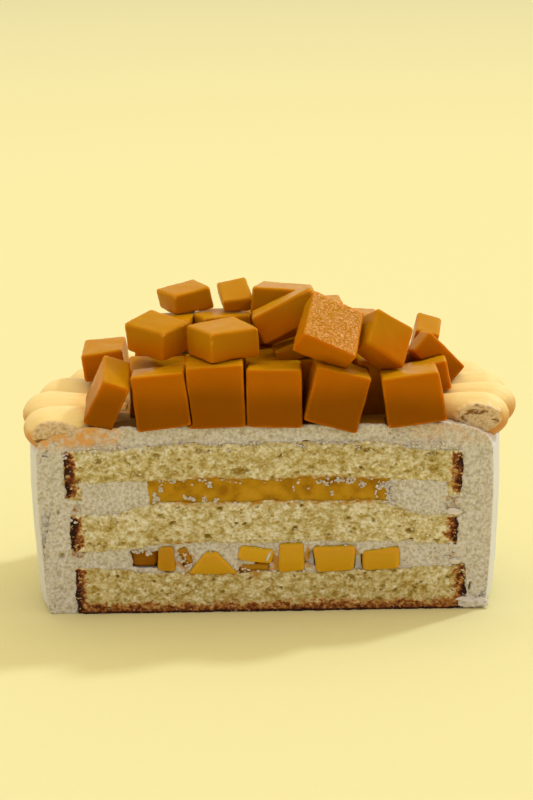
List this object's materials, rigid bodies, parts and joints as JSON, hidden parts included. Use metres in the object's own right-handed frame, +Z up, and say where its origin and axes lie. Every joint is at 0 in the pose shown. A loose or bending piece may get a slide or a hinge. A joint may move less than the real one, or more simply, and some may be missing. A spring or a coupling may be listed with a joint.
{
  "type": "mango passion fruit cake",
  "caption": "Round layer cake cut straight down: sponge, fruit curd and cream with mango pieces, in a smooth cream coat, with a piped border and a heap of diced mango on top.",
  "frame": {"origin": "centre of the round cake's base, which stands on the table; the cut is 25 mm in front of it", "axes": "+X to the right along the cut, +Y to the back away from the cut face, +Z up"},
  "size_m": [0.1573, 0.1065, 0.1001],
  "materials": {
    "sponge": "open, crumbly, dry",
    "fruit_curd": "smooth, wet sheen",
    "cream": "smooth, soft sheen",
    "border_cream": "piped, soft sheen",
    "mango": "cut fruit, moist"
  },
  "bodies": {
    "root": {"sponge_bottom": "sponge", "sponge_middle": "sponge", "sponge_top": "sponge", "curd": "fruit_curd", "cream_upper": "cream", "cream_lower": "cream", "cream_coat": "cream", "filling_mango_1": "mango", "filling_mango_2": "mango", "filling_mango_3": "mango", "filling_mango_4": "mango", "filling_mango_5": "mango", "filling_mango_6": "mango", "filling_mango_7": "mango", "filling_mango_8": "mango", "filling_mango_9": "mango", "piped_border": "border_cream", "mango_01": "mango", "mango_02": "mango", "mango_03": "mango", "mango_04": "mango", "mango_05": "mango", "mango_06": "mango", "mango_07": "mango", "mango_08": "mango", "mango_09": "mango", "mango_10": "mango", "mango_11": "mango", "mango_12": "mango", "mango_13": "mango", "mango_14": "mango", "mango_15": "mango", "mango_16": "mango", "mango_17": "mango", "mango_18": "mango", "mango_19": "mango", "mango_20": "mango", "mango_21": "mango", "mango_22": "mango", "mango_23": "mango", "mango_24": "mango", "mango_25": "mango", "mango_26": "mango", "mango_27": "mango", "mango_28": "mango", "mango_29": "mango", "mango_30": "mango", "mango_31": "mango", "mango_32": "mango", "mango_33": "mango", "mango_34": "mango", "mango_35": "mango", "mango_36": "mango", "mango_37": "mango", "mango_38": "mango", "mango_39": "mango", "mango_40": "mango", "mango_41": "mango"}
  },
  "joints": []
}
